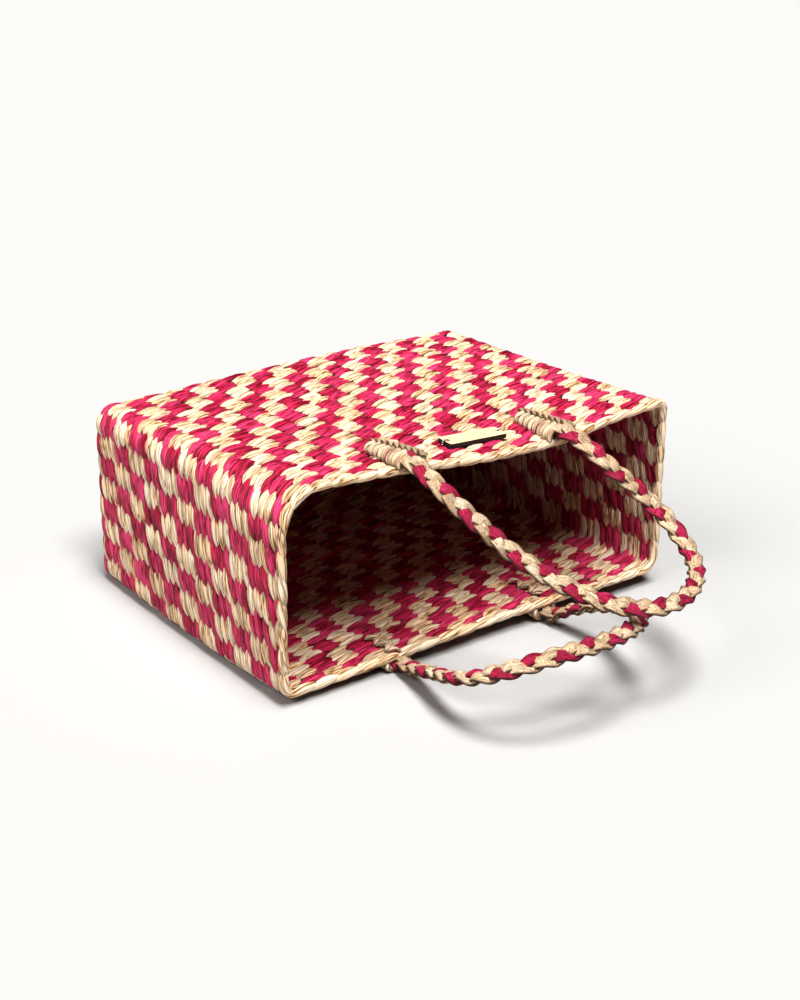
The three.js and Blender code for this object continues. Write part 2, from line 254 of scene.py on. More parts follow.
def straw_material(name, coarseness, bump, gloss):
    """Straw that reads its dye, tone and the place along and across each blade from the piece itself, and
    paints shade where each blade sits low and along its splits.
    """
    material = bpy.data.materials.new(name)
    material.use_nodes = True
    tree = material.node_tree
    shader = tree.nodes["Principled BSDF"]
    attribute = {}
    for label, output in {"grain": "Vector", "tone": "Fac", "dye": "Fac"}.items():
        made = tree.nodes.new("ShaderNodeAttribute")
        made.attribute_name = label
        attribute[label] = Flow(tree, made.outputs[output])
    group = tree.nodes.new("ShaderNodeGroup")
    group.node_tree = fibres
    connect(tree, group.inputs["Blade"], attribute["grain"])
    connect(tree, group.inputs["Number"], attribute["tone"])
    connect(tree, group.inputs["Coarseness"], coarseness)
    fibre, height, blotch, split = (Flow(tree, s) for s in group.outputs)
    shade = attribute["tone"] * 0.50 + (fibre - 0.55) * 2.0 + (blotch - 0.5) * 0.9 + 0.33
    natural = ramp(
        tree,
        shade,
        [
            (0.0, (0.36, 0.15, 0.06)),
            (0.15, (0.72, 0.40, 0.16)),
            (0.40, (0.95, 0.67, 0.41)),
            (1.0, (1.0, 0.85, 0.66)),
        ],
    )
    pink = ramp(
        tree,
        shade,
        [
            (0.0, (0.16, 0.002, 0.016)),
            (0.2, (0.34, 0.003, 0.032)),
            (0.5, (0.56, 0.009, 0.072)),
            (1.0, (0.82, 0.080, 0.225)),
        ],
    )
    colour = mixed(tree, attribute["dye"], natural, pink)
    # Painted shade: blade_up is the height across each blade. The colour is multiplied down below it,
    # deepest at the low edges and in the splits, and warmer in the shade.
    blade_up = parts_of(tree, attribute["grain"])[1]
    low = node(
        tree,
        "ShaderNodeMapRange",
        value=blade_up,
        from_min=0.05,
        from_max=0.60,
        to_min=EDGE_PAINTED_SHADE,
        to_max=1.0,
    )
    low = low * (split * (1.0 - SPLIT_PAINTED_SHADE) + SPLIT_PAINTED_SHADE)
    green = low.math("POWER", 1.2)
    blue = low.math("POWER", 1.4)
    warm_painted_shade = node(tree, "ShaderNodeCombineColor", red=low, green=green, blue=blue)
    colour = mixed(tree, 1.0, colour, warm_painted_shade, "MULTIPLY")
    connect(tree, shader.inputs["Base Color"], colour)
    shader.inputs["Roughness"].default_value = gloss
    shader.inputs["Specular IOR Level"].default_value = 0.45
    made = tree.nodes.new("ShaderNodeBump")
    made.inputs["Strength"].default_value = 1.0
    made.inputs["Distance"].default_value = bump
    connect(tree, made.inputs["Height"], height)
    tree.links.new(made.outputs["Normal"], shader.inputs["Normal"])
    return material


# Handles
# Each is a flat braid of three strands, two natural and one pink. Both ends run in under the lashings.
RUN_IN = 0.004
GRAIN_LENGTH = 0.008
CORNER_SOFTNESS = 0.85
BACK_ROUTE = [
    (-0.0750, -0.1237, 0.0061), (-0.0750, -0.1290, 0.0063), (-0.0780, -0.1460, 0.0120),
    (-0.0830, -0.1690, 0.0210), (-0.0880, -0.1920, 0.0300), (-0.0870, -0.2140, 0.0400),
    (-0.0760, -0.2320, 0.0500), (-0.0560, -0.2440, 0.0570), (-0.0320, -0.2490, 0.0590),
    (-0.0080, -0.2480, 0.0580), (0.0160, -0.2420, 0.0560), (0.0360, -0.2290, 0.0510),
    (0.0500, -0.2100, 0.0440), (0.0580, -0.1880, 0.0360), (0.0600, -0.1650, 0.0270),
    (0.0580, -0.1440, 0.0160), (0.0560, -0.1290, 0.0063), (0.0560, -0.1237, 0.0061),
]
FRONT_ROUTE = [
    (-0.0705, -0.1178, 0.1468), (-0.0705, -0.1230, 0.1466), (-0.0695, -0.1300, 0.1438),
    (-0.0680, -0.1390, 0.1395), (-0.0660, -0.1480, 0.1350), (-0.0625, -0.1590, 0.1280),
    (-0.0550, -0.1720, 0.1180), (-0.0410, -0.1860, 0.1020), (-0.0280, -0.2030, 0.0900),
    (-0.0140, -0.2210, 0.0810), (0.0040, -0.2360, 0.0730), (0.0260, -0.2470, 0.0690),
    (0.0510, -0.2475, 0.0680), (0.0740, -0.2385, 0.0690), (0.0930, -0.2220, 0.0705),
    (0.1040, -0.2020, 0.0760), (0.1040, -0.1830, 0.0880), (0.0970, -0.1700, 0.0995),
    (0.0870, -0.1625, 0.1110), (0.0770, -0.1570, 0.1200), (0.0710, -0.1510, 0.1270),
    (0.0670, -0.1420, 0.1335), (0.0640, -0.1330, 0.1380), (0.0620, -0.1240, 0.1406),
    (0.0620, -0.1178, 0.1408),
]

strand_tree, value = shape_tree(
    "braid strand",
    {
        "Strand": "Int",
        "Phase": "Float",
        "Face": "Vector",
        "Swing": "Float",
        "Depth": "Float",
        "Period": "Float",
        "Strand width": "Float",
        "Strand thickness": "Float",
        "Steps": "Int",
        "Sides": "Int",
        "Dye": "Float",
        "Material": "Material",
    },
)
tree = strand_tree
line = node(tree, "GeometryNodeResampleCurve", curve=value["Geometry"], count=value["Steps"])
length = node(tree, "GeometryNodeSplineParameter", output="Length")
turn = length / value["Period"] * math.tau + value["Strand"] * (math.tau / 3) + value["Phase"]
tangent = node(tree, "GeometryNodeInputTangent")
wide = tangent.math("CROSS_PRODUCT", value["Face"]).math("NORMALIZE")
upward = wide.math("CROSS_PRODUCT", tangent)
offset = wide * (turn.math("SINE") * value["Swing"]) + upward * ((turn * 2.0).math("SINE") * value["Depth"])
line = stored(tree, line, "length", length)
line = stored(tree, line, "across", wide, "FLOAT_VECTOR")
line = node(tree, "GeometryNodeSetPosition", geometry=line, offset=offset)
line = node(
    tree,
    "GeometryNodeSetCurveNormal",
    settings={"mode": "FREE"},
    curve=line,
    normal=read(tree, "across", "FLOAT_VECTOR"),
)
profile = node(
    tree,
    "GeometryNodeCurvePrimitiveCircle",
    settings={"mode": "RADIUS"},
    resolution=value["Sides"],
    radius=1.0,
)
profile = stored(tree, profile, "rim", node(tree, "GeometryNodeInputPosition"), "FLOAT_VECTOR")
rim_x, rim_y, _ = parts_of(tree, node(tree, "GeometryNodeInputPosition"))
ridge = (rim_x.math("ARCTAN2", rim_y) * 6.0).math("COSINE") * 0.10 + 0.94
boxy_x = rim_x.math("ABSOLUTE").math("POWER", CORNER_SOFTNESS) * rim_x.math("SIGN")
boxy_y = rim_y.math("ABSOLUTE").math("POWER", CORNER_SOFTNESS) * rim_y.math("SIGN")
flat = joined(
    tree,
    boxy_x * value["Strand width"] * 0.5,
    boxy_y * value["Strand thickness"] * 0.5 * ridge,
    0.0,
)
profile = node(tree, "GeometryNodeSetPosition", geometry=profile, position=flat)
body = node(tree, "GeometryNodeCurveToMesh", curve=line, profile_curve=profile, fill_caps=True)
side_x, side_y, _ = parts_of(tree, read(tree, "rim", "FLOAT_VECTOR"))
# The height across the strand, kept as the grain's second number, sets the painted shade at the strand's
# edges.
height = side_y.math("ABSOLUTE").math("POWER", 1.7) * 1.05
strand_grain = joined(tree, side_x * 1.4, height, read(tree, "length") / GRAIN_LENGTH)
body = stored(tree, body, "grain", strand_grain, "FLOAT_VECTOR")
body = stored(tree, body, "dye", value["Dye"])
patch = node(
    tree,
    "ShaderNodeTexNoise",
    vector=joined(tree, read(tree, "length") * 45.0, value["Strand"] * 7.3, side_x * 0.4),
    scale=1.0,
    detail=1.0,
)
body = stored(tree, body, "tone", patch * 1.6 - 0.35)
finish_tree(tree, body, value["Material"])

braid_straw = straw_material("braid straw", 1.3, 0.0011, 0.5)


def braid(name, route, node_name, face, phase):
    """Three strands that cross in turn, and the centreline that they follow."""
    centre = [Vector(p) for p in route]
    centre.insert(0, centre[0] + Vector((0.0, RUN_IN, 0.0)))
    centre.append(centre[-1] + Vector((0.0, RUN_IN, 0.0)))
    fine_line = []
    for i in range(len(centre) - 1):
        a, b = centre[max(i - 1, 0)], centre[i]
        c, d = centre[i + 1], centre[min(i + 2, len(centre) - 1)]
        for step in range(8):
            t = step / 8
            straight = (2 * b) + (c - a) * t
            bend = (2 * a - 5 * b + 4 * c - d) * t * t
            twist = (3 * b - a - 3 * c + d) * t ** 3
            fine_line.append(0.5 * (straight + bend + twist))
    fine_line.append(centre[-1])
    strands = []
    for strand in range(3):
        piece = grown(
            f"{name}_strand_{strand + 1}",
            curve_from(name, fine_line),
            strand_tree,
            {
                "Strand": strand,
                "Phase": phase,
                "Face": face,
                "Swing": 0.0024,
                "Depth": 0.0019,
                "Period": 0.0405,
                "Strand width": 0.0082,
                "Strand thickness": 0.0038,
                "Steps": 320,
                "Sides": 18,
                "Dye": 1.0 if strand == 0 else 0.0,
                "Material": braid_straw,
            },
        )
        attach(piece, "root")
        strands.append(piece)
    for piece in strands:
        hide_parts(node_name)


braid("back_braid", BACK_ROUTE, "handle_back", (-0.10, -0.45, 0.89), 1.48)
braid("front_braid", FRONT_ROUTE, "handle_front", (-0.45, -0.50, 0.74), -2.0)

# Bag
# A box of twined straw: each row is two blades that twist round each other, so every stitch is a plump
# slanting grain outside and its fellow inside has the other colour. The colours swap every third row.
BAG_WIDTH = 0.336
BAG_HEIGHT = 0.240
BAG_DEPTH = 0.131
WALL = 0.0055
EDGE_RADIUS = 0.016
BASE_RADIUS = 0.014
PANEL_BOW = 0.010
BOW_CENTRE = 0.22
ROW = 0.0070
LEAN = math.atan(0.011 / (BAG_HEIGHT - BASE_RADIUS))
SEAT = Vector((0.0000536, -0.002569, 0.005193))
# station, left, right, front left, front right, front bow, gusset bow, back left, back right, back bow,
# front round left, front round right, back round left, back round right
SECTIONS = [
    (0.00, 0.985, 0.985, 1.000, 1.030, 0.25, 0.0, 0.000, 0.000, 0.00, 1.0, 0.9, 0.6, 0.7),
    (0.20, 0.995, 0.990, 1.005, 1.020, 0.20, 0.1, -0.003, 0.000, 0.05, 1.0, 0.9, 0.6, 0.7),
    (0.45, 1.000, 0.995, 1.012, 1.010, 0.05, 0.2, -0.028, -0.015, 0.15, 1.1, 0.9, 0.5, 0.7),
    (0.70, 1.000, 1.000, 1.022, 1.005, -0.25, 0.2, -0.042, -0.020, 0.20, 1.4, 0.8, 0.5, 0.8),
    (0.90, 1.002, 1.005, 1.027, 0.998, -0.74, 0.1, -0.048, -0.020, 0.25, 1.8, 0.6, 0.6, 0.9),
    (1.00, 1.000, 1.007, 1.028, 0.999, -1.00, 0.0, -0.042, -0.018, 0.25, 1.9, 0.5, 0.6, 1.0),
]
PANEL_STITCHES = 19
GUSSET_STITCHES = 8
ROUND = 2 * (PANEL_STITCHES + GUSSET_STITCHES)
CORNER_STEPS = 6
PANEL_STEPS = 16
GUSSET_STEPS = 6
PANEL_RUN = CORNER_STEPS + PANEL_STEPS
GUSSET_RUN = CORNER_STEPS + GUSSET_STEPS
AROUND = 2 * (PANEL_RUN + GUSSET_RUN)
LOOP_START = AROUND - GUSSET_STEPS - CORNER_STEPS // 2
OVERLAP = 8
ROWS = 35
FIRST_ROW = 0.001
LEAST_REACH = 0.0008


def section(station):
    """The table's values at any station, on a smooth curve through its rows."""
    s = min(max(station, 0.0), 1.0)
    row = 0
    while row < len(SECTIONS) - 2 and SECTIONS[row + 1][0] < s:
        row += 1
    before, start, to, after = (
        SECTIONS[max(row - 1, 0)],
        SECTIONS[row],
        SECTIONS[row + 1],
        SECTIONS[min(row + 2, len(SECTIONS) - 1)],
    )
    span = to[0] - start[0]
    t = (s - start[0]) / span
    values = []
    for k in range(1, len(start)):
        slope_start = (to[k] - before[k]) / max(to[0] - before[0], span)
        slope_to = (after[k] - start[k]) / max(after[0] - start[0], span)
        values.append(
            (2 * t ** 3 - 3 * t ** 2 + 1) * start[k]
            + (t ** 3 - 2 * t ** 2 + t) * span * slope_start
            + (3 * t ** 2 - 2 * t ** 3) * to[k]
            + (t ** 3 - t ** 2) * span * slope_to
        )
    return values


def loop(station, inset):
    """Points in X and Z round the bag: along the front panel, down the right gusset, back underneath, up."""
    values = section(station)
    left = -values[0] * BAG_WIDTH / 2 + inset
    right = values[1] * BAG_WIDTH / 2 - inset
    front_left, front_right = values[2] * BAG_DEPTH - inset, values[3] * BAG_DEPTH - inset
    front_bow, gusset_bow = values[4] * PANEL_BOW, values[5] * PANEL_BOW
    back_left, back_right = values[6] * BAG_DEPTH + inset, values[7] * BAG_DEPTH + inset
    back_bow = values[8] * PANEL_BOW
    radii = [max(share * EDGE_RADIUS - inset, 0.002) for share in values[9:13]]
    points = []

    def corner(x, z, radius, start):
        for i in range(CORNER_STEPS + 1):
            angle = start - i / CORNER_STEPS * math.pi / 2
            points.append((x + radius * math.cos(angle), z + radius * math.sin(angle)))

    def side(steps, start, to, push_x, push_z, centre):
        for i in range(1, steps):
            t = i / steps
            peak = 0.5 + centre / 2
            u = t / peak if t < peak else (1 - t) / (1 - peak)
            bow = (1 - math.cos(math.pi * u)) / 2
            x = start[0] + (to[0] - start[0]) * t + push_x * bow
            z = start[1] + (to[1] - start[1]) * t + push_z * bow
            points.append((x, z))

    fl, fr, bl, br = radii
    corner(left + fl, front_left - fl, fl, math.pi)
    side(PANEL_STEPS, (left + fl, front_left), (right - fr, front_right), 0.0, front_bow, BOW_CENTRE)
    corner(right - fr, front_right - fr, fr, math.pi / 2)
    side(GUSSET_STEPS, (right, front_right - fr), (right, back_right + br), gusset_bow, 0.0, 0.0)
    corner(right - br, back_right + br, br, 0.0)
    side(PANEL_STEPS, (right - br, back_right), (left + bl, back_left), 0.0, back_bow, -BOW_CENTRE)
    corner(left + bl, back_left + bl, bl, -math.pi / 2)
    side(GUSSET_STEPS, (left, back_left + bl), (left, front_left - fl), -gusset_bow, 0.0, 0.0)
    return points


def seated(x, y, z):
    """From the bag's own frame to its place on the floor, where it leans on its back lashings."""
    return Vector(
        (x, y * math.cos(LEAN) + z * math.sin(LEAN), -y * math.sin(LEAN) + z * math.cos(LEAN))
    ) + SEAT


def turned_loop(station, inset):
    """The loop from the middle of its lower left corner, each point with its place in stitches."""
    points = loop(station, inset)
    points = points[LOOP_START:] + points[:LOOP_START]
    closed = points + points[:1]
    places = []
    mark = 0
    count = 0
    for run_steps, stitches in ((GUSSET_RUN, GUSSET_STITCHES), (PANEL_RUN, PANEL_STITCHES)) * 2:
        stretch = closed[mark : mark + run_steps + 1]
        steps = [math.dist(stretch[i], stretch[i + 1]) for i in range(len(stretch) - 1)]
        run = 0.0
        for step in steps:
            places.append(count + stitches * run / sum(steps))
            run += step
        mark += run_steps
        count += stitches
    return list(zip(places, points))


def wall_point_rows(inset, v):
    """One ring of the wall at row v from the rim, over the rounded edge and on to the base."""
    reach = max(FIRST_ROW + v * ROW, LEAST_REACH)
    half = WALL / 2
    if reach < half:
        pinch = (half - math.sqrt(half ** 2 - (half - reach) ** 2)) * (1 if inset < half else -1)
        inset += pinch * abs(inset - half) / half
    straight = BAG_HEIGHT - BASE_RADIUS
    radius = BASE_RADIUS - inset
    if reach <= straight:
        y, pulled = reach - BAG_HEIGHT / 2, inset
    else:
        angle = min((reach - straight) / BASE_RADIUS, math.pi / 2)
        y = BAG_HEIGHT / 2 - BASE_RADIUS + radius * math.sin(angle)
        pulled = inset + radius * (1 - math.cos(angle))
    station = (BAG_HEIGHT / 2 - y) / BAG_HEIGHT
    return [(u, seated(x, y, z)) for u, (x, z) in turned_loop(station, pulled)]


def guide(name, rings, low, span):
    """A grid mesh whose UV map holds the stitch and row at every point, a little past both ends."""
    extended = []
    for v, ring in rings:
        before = [(u - ROUND, p) for u, p in ring[-OVERLAP:]]
        after = [(u + ROUND, p) for u, p in ring[:OVERLAP]]
        extended.append((v, before + ring + after))
    columns = len(extended[0][1])
    vertices = [p for _, row in extended for _, p in row]
    places = [((u - low[0]) / span[0], (v - low[1]) / span[1]) for v, row in extended for u, _ in row]
    faces = [
        (r * columns + c, r * columns + c + 1, (r + 1) * columns + c + 1, (r + 1) * columns + c)
        for r in range(len(extended) - 1)
        for c in range(columns - 1)
    ]
    mesh = bpy.data.meshes.new(name)
    mesh.from_pydata(vertices, [], faces)
    layer = mesh.uv_layers.new(name="places")
    for loop_index, corner in enumerate(mesh.loops):
        layer.data[loop_index].uv = places[corner.vertex_index]
    mesh.polygons.foreach_set("use_smooth", [True] * len(mesh.polygons))
    return mesh


PANEL_TURN = 2.10
POINTEDNESS = 0.62
rows_tree, value = shape_tree(
    "woven rows",
    {
        "Stitches": "Int",
        "First row": "Int",
        "Rows": "Int",
        "Guide low": "Vector",
        "Guide span": "Vector",
        "Length": "Float",
        "Width": "Float",
        "Thickness": "Float",
        "Slant": "Float",
        "Panel slant": "Float",
        "Dip": "Float",
        "Tuck": "Float",
        "Side": "Float",
        "Sunk": "Float",
        "Unevenness": "Float",
        "Block rows": "Int",
        "First block": "Int",
        "Phase": "Int",
        "Dyed": "Float",
        "Segments": "Int",
        "Rings": "Int",
        "Seed": "Int",
        "Material": "Material",
    },
)
tree = rows_tree
grain = node(tree, "GeometryNodeMeshUVSphere", segments=value["Segments"], rings=value["Rings"], radius=1.0)
# The grain's second number is the height within each stitch. The straw material paints shade where it is
# low.
grain = stored(tree, grain, "grain", node(tree, "GeometryNodeInputPosition"), "FLOAT_VECTOR")
points = node(tree, "GeometryNodePoints", count=value["Stitches"] * value["Rows"])
first = value["First row"] * value["Stitches"]
points = stored(tree, points, "number", node(tree, "GeometryNodeInputIndex") + first, "INT")
stitches = node(tree, "GeometryNodeInstanceOnPoints", points=points, instance=grain)
stitches = node(tree, "GeometryNodeRealizeInstances", geometry=stitches)
number = read(tree, "number", "INT")
place = (number + 0.0).math("MODULO", value["Stitches"])
row = ((number + 0.0) / value["Stitches"] + 0.0001).math("FLOOR")
across, up, along = parts_of(tree, read(tree, "grain", "FLOAT_VECTOR"))
seed = value["Seed"]
uneven = value["Unevenness"]
shift_u = random(tree, -0.10, 0.10, number, seed) * uneven
shift_v = random(tree, -0.10, 0.10, number, seed + 1) * uneven
grow_w = random(tree, -0.10, 0.12, number, seed + 2) * uneven + 1.0
grow_l = random(tree, -0.08, 0.10, number, seed + 3) * uneven + 1.0
lift = random(tree, -0.0005, 0.0003, number, seed + 4) * uneven
around = place / value["Stitches"] * (2 * math.tau) - PANEL_TURN
panel = (around.math("SINE") * 3.0).math("MINIMUM", 1.0).math("MAXIMUM", 0.0)
lean_more = random(tree, -0.12, 0.12, number, seed + 5) * uneven + panel * value["Panel slant"]
roll = random(tree, -0.0005, 0.0005, number, seed + 8) * uneven
bend = random(tree, -0.12, 0.12, number, seed + 6) * uneven
fullness = ((along * along * -1.0 + 1.0).math("MAXIMUM", 0.0)).math("POWER", POINTEDNESS)
u = place + 0.5 + shift_u + along * value["Length"] * 0.5 * grow_l
v = (
    row
    + 0.5
    + shift_v
    + (value["Slant"] + lean_more) * along
    + (along * along * bend)
    + across * value["Width"] * 0.5 * grow_w * fullness
)
under = up.math("MINIMUM", 0.0) * 0.5
over = up.math("MAXIMUM", 0.0) + under
deep = (
    value["Thickness"] * (over * fullness - 1.0)
    - value["Dip"] * (along * along) * (along * along)
    - value["Tuck"] * along
    + roll * across
    + lift
    - value["Sunk"]
)
flat = (joined(tree, u, v, 0.0) - value["Guide low"]) / value["Guide span"]
place_map = read(tree, "places", "FLOAT_VECTOR")


def sampled(tree, mesh, field):
    """A field of the guide mesh, read where each point's stitch and row lie on it."""
    made = tree.nodes.new("GeometryNodeSampleUVSurface")
    made.data_type = "FLOAT_VECTOR"
    connect(tree, made.inputs["Mesh"], mesh)
    connect(tree, next(s for s in made.inputs if s.name == "Value" and s.enabled), field)
    connect(tree, next(s for s in made.inputs if s.name in ("UV Map", "Source UV Map")), place_map)
    connect(tree, next(s for s in made.inputs if s.name == "Sample UV"), flat)
    return Flow(tree, next(s for s in made.outputs if s.enabled and s.name == "Value"))


surface = stored(tree, value["Geometry"], "outward", node(tree, "GeometryNodeInputNormal"), "FLOAT_VECTOR")
at = sampled(tree, surface, node(tree, "GeometryNodeInputPosition"))
outward = sampled(tree, surface, read(tree, "outward", "FLOAT_VECTOR"))
stitches = node(
    tree, "GeometryNodeSetPosition", geometry=stitches, position=at + outward * (deep * value["Side"])
)
block = ((row + value["Block rows"] - value["First block"]) / value["Block rows"] + 0.0001).math("FLOOR")
checker = (block + place + value["Phase"]).math("MODULO", 2.0)
stitches = stored(tree, stitches, "dye", checker * value["Dyed"])
stitches = stored(tree, stitches, "tone", random(tree, 0.0, 1.0, number, seed + 7))
flip = node(tree, "GeometryNodeFlipFaces", mesh=stitches)
switch = tree.nodes.new("GeometryNodeSwitch")
switch.input_type = "GEOMETRY"
connect(tree, switch.inputs[0], value["Side"].math("LESS_THAN", 0.0))
connect(tree, next(s for s in switch.inputs if s.enabled and s.name == "False"), stitches)
connect(tree, next(s for s in switch.inputs if s.enabled and s.name == "True"), flip)
finish_tree(tree, Flow(tree, next(s for s in switch.outputs if s.enabled)), value["Material"])

weave_straw = straw_material("weave straw", 1.0, 0.0012, 0.48)
GUIDE_LOW, GUIDE_SPAN = (-2.0, -2.0, 0.0), (ROUND + 4.0, ROWS + 4.0, 1.0)
row_lines = [-1.0 + 0.25 * i for i in range(12)] + [2.0 + 0.5 * i for i in range(70)]
outer_guide = guide("outer rows", [(v, wall_point_rows(0.0, v)) for v in row_lines], GUIDE_LOW, GUIDE_SPAN)
inner_guide = guide("inner rows", [(v, wall_point_rows(WALL, v)) for v in row_lines], GUIDE_LOW, GUIDE_SPAN)
STITCH = {
    "Stitches": ROUND,
    "First row": 0,
    "Rows": ROWS,
    "Guide low": GUIDE_LOW,
    "Guide span": GUIDE_SPAN,
    "Length": 1.72,
    "Width": 1.40,
    "Thickness": 0.0026,
    "Slant": 0.46,
    "Panel slant": 0.26,
    "Dip": 0.0006,
    "Tuck": 0.0,
    "Side": 1.0,
    "Sunk": -0.0002,
    "Unevenness": 1.0,
    "Block rows": 3,
    "First block": 2,
    "Phase": 0,
    "Dyed": 1.0,
    "Segments": 12,
    "Rings": 10,
    "Seed": 11,
    "Material": weave_straw,
}
INNER_STITCH = {
    **STITCH,
    "Side": -1.0,
    "Slant": -0.36,
    "Panel slant": -0.04,
    "Phase": 1,
    "Segments": 10,
    "Rings": 8,
    "Seed": 31,
}
weave = [
    grown(f"woven_{side}_{band + 1}", guide_mesh, rows_tree, {**stitch, "First row": first, "Rows": count})
    for side, guide_mesh, stitch, bands in (
        ("outside", outer_guide, STITCH, [(0, 12), (12, 12), (24, 11)]),
        ("inside", inner_guide, INNER_STITCH, [(0, 18), (18, 17)]),
    )
    for band, (first, count) in enumerate(bands)
]
for piece in weave:
    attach(piece, "root")
    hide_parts("bag_body")


def shell(name, outer_inset, inner_inset, start, stop, steps):
    """A closed thin skin that follows the wall from one row to another, capped over the base."""
    rings = [wall_point_rows(outer_inset, start + (stop - start) * i / steps) for i in range(steps + 1)]
    rings += [wall_point_rows(inner_inset, stop + (start - stop) * i / steps) for i in range(steps + 1)]
    rings = [[p for _, p in ring] for ring in rings]
    for place, edge in ((steps + 1, steps), (steps + 2, steps + 2)):
        middle = sum(rings[edge], Vector()) / AROUND
        rings.insert(place, [p.lerp(middle, 0.98) for p in rings[edge]])
    count = len(rings[0])
    faces = [
        (r * count + i, r * count + (i + 1) % count, r2 * count + (i + 1) % count, r2 * count + i)
        for r, r2 in zip(range(len(rings)), [*range(1, len(rings)), 0])
        for i in range(count)
    ]
    mesh = bpy.data.meshes.new(name)
    mesh.from_pydata([p for ring in rings for p in ring], [], faces)
    mesh.polygons.foreach_set("use_smooth", [True] * len(mesh.polygons))
    return mesh


# The warps carry no grain, tone or dye, so the straw material draws them in its darkest tone under full
# painted shade: a dark sheet of painted shade seen through the gaps between stitches.
WARPS_OUT = 0.0022
WARPS_IN = 0.0033
lining_mesh = shell("woven_warps", WARPS_OUT, WARPS_IN, 0.3, ROWS + 0.3, 2 * ROWS)
lining_mesh.materials.append(weave_straw)
lining = bpy.data.objects.new("woven_warps", lining_mesh)
scene.collection.objects.link(lining)


BASE_STITCHES = 18
BASE_ROWS = 16
BASE_WIDTH = 0.302
BASE_FIRST = 0.0105
BASE_MARGIN = 2
BASE_SPAN = (BASE_STITCHES + 2 * BASE_MARGIN, BASE_ROWS + 2 * BASE_MARGIN)


def base_guide(name, y, way):
    """A flat grid over the base, with its stitches across the bag and its rows up from the back panel."""
    mesh = bpy.data.meshes.new(name)
    wide, high = BASE_SPAN
    places = [(u - BASE_MARGIN, v - BASE_MARGIN) for v in range(high + 1) for u in range(wide + 1)]
    vertices = [
        seated(way * (u / BASE_STITCHES - 0.5) * BASE_WIDTH, y, BASE_FIRST + v * ROW) for u, v in places
    ]
    across = wide + 1
    faces = [
        (r * across + c, r * across + c + 1, (r + 1) * across + c + 1, (r + 1) * across + c)
        for r in range(high)
        for c in range(wide)
    ]
    mesh.from_pydata(vertices, [], faces)
    layer = mesh.uv_layers.new(name="places")
    for corner in mesh.loops:
        u, v = places[corner.vertex_index]
        layer.data[corner.index].uv = ((u + BASE_MARGIN) / wide, (v + BASE_MARGIN) / high)
    return mesh


BASE = {
    **STITCH,
    "Stitches": BASE_STITCHES,
    "Rows": BASE_ROWS,
    "Guide low": (-BASE_MARGIN, -BASE_MARGIN, 0.0),
    "Guide span": (*BASE_SPAN, 1.0),
    "Panel slant": 0.0,
    "Phase": 2,
    "First block": 0,
    "Seed": 51,
}
base_outside = grown("base_outside", base_guide("base rows", BAG_HEIGHT / 2, -1), rows_tree, BASE)
base_inside = grown(
    "base_inside",
    base_guide("inner base rows", BAG_HEIGHT / 2 - WALL, 1),
    rows_tree,
    {**BASE, "Segments": 10, "Rings": 8, "Seed": 71},
)
for piece in (lining, base_outside, base_inside):
    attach(piece, "root")
    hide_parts("bag_body")

# Border
# Long natural blades rise out of the last row inside, lie over the edge and tuck in under the last
# row outside.
RIM_PATH = 0.0122
RIM_ROOM = 0.0005
CORE_RINGS = 13


def rim_point_row(v, sunk=0.0):
    """One line round the mouth at share v of the way from the outside, over the lip, to the inside."""
    path = v * RIM_PATH
    half = WALL / 2 + RIM_ROOM - sunk
    flat = (RIM_PATH - math.pi * (WALL / 2 + RIM_ROOM)) / 2
    lip = BAG_HEIGHT / 2 - (WALL / 2 + RIM_ROOM)
    if path < flat:
        inset, y = WALL / 2 - half, -lip + (flat - path)
    elif path > RIM_PATH - flat:
        inset, y = WALL / 2 + half, -lip + (path - RIM_PATH + flat)
    else:
        angle = (path - flat) / (RIM_PATH - 2 * flat) * math.pi
        inset, y = WALL / 2 - half * math.cos(angle), -lip - half * math.sin(angle)
    return [(u, seated(x, y, z)) for u, (x, z) in turned_loop(1.0, inset)]


rim_low, rim_span = (-2.0, -0.3, 0.0), (ROUND + 4.0, 1.6, 1.0)
rim_lines = [1.3 - 1.6 * i / 32 for i in range(33)]
rim_guide = guide("border rows", [(v, rim_point_row(v)) for v in rim_lines], rim_low, rim_span)

border = grown(
    "border_blades",
    rim_guide,
    rows_tree,
    {
        **STITCH,
        "Rows": 1,
        "Guide low": rim_low,
        "Guide span": rim_span,
        "Length": 1.85,
        "Width": 1.25,
        "Thickness": 0.0014,
        "Slant": -0.20,
        "Panel slant": 0.0,
        "Dip": 0.0008,
        "Tuck": 0.0006,
        "Sunk": -0.0004,
        "Unevenness": 0.6,
        "Dyed": 0.0,
        "Segments": 24,
        "Rings": 14,
        "Seed": 91,
    },
)
# The core carries no grain, tone or dye, so the straw material draws it in its darkest tone under full
# painted shade, seen dark through the gaps in the border.
core_rings = [[p for _, p in rim_point_row(i / (CORE_RINGS - 1), 0.0012)] for i in range(CORE_RINGS)]
core_faces = [
    (
        r * AROUND + i,
        (r + 1) % CORE_RINGS * AROUND + i,
        (r + 1) % CORE_RINGS * AROUND + (i + 1) % AROUND,
        r * AROUND + (i + 1) % AROUND,
    )
    for r in range(CORE_RINGS)
    for i in range(AROUND)
]
core_mesh = bpy.data.meshes.new("border_core")
core_mesh.from_pydata([p for ring in core_rings for p in ring], [], core_faces)
core_mesh.materials.append(weave_straw)
border_core = bpy.data.objects.new("border_core", core_mesh)
scene.collection.objects.link(border_core)
for piece in (border, border_core):
    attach(piece, "root")
    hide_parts("rim_binding")

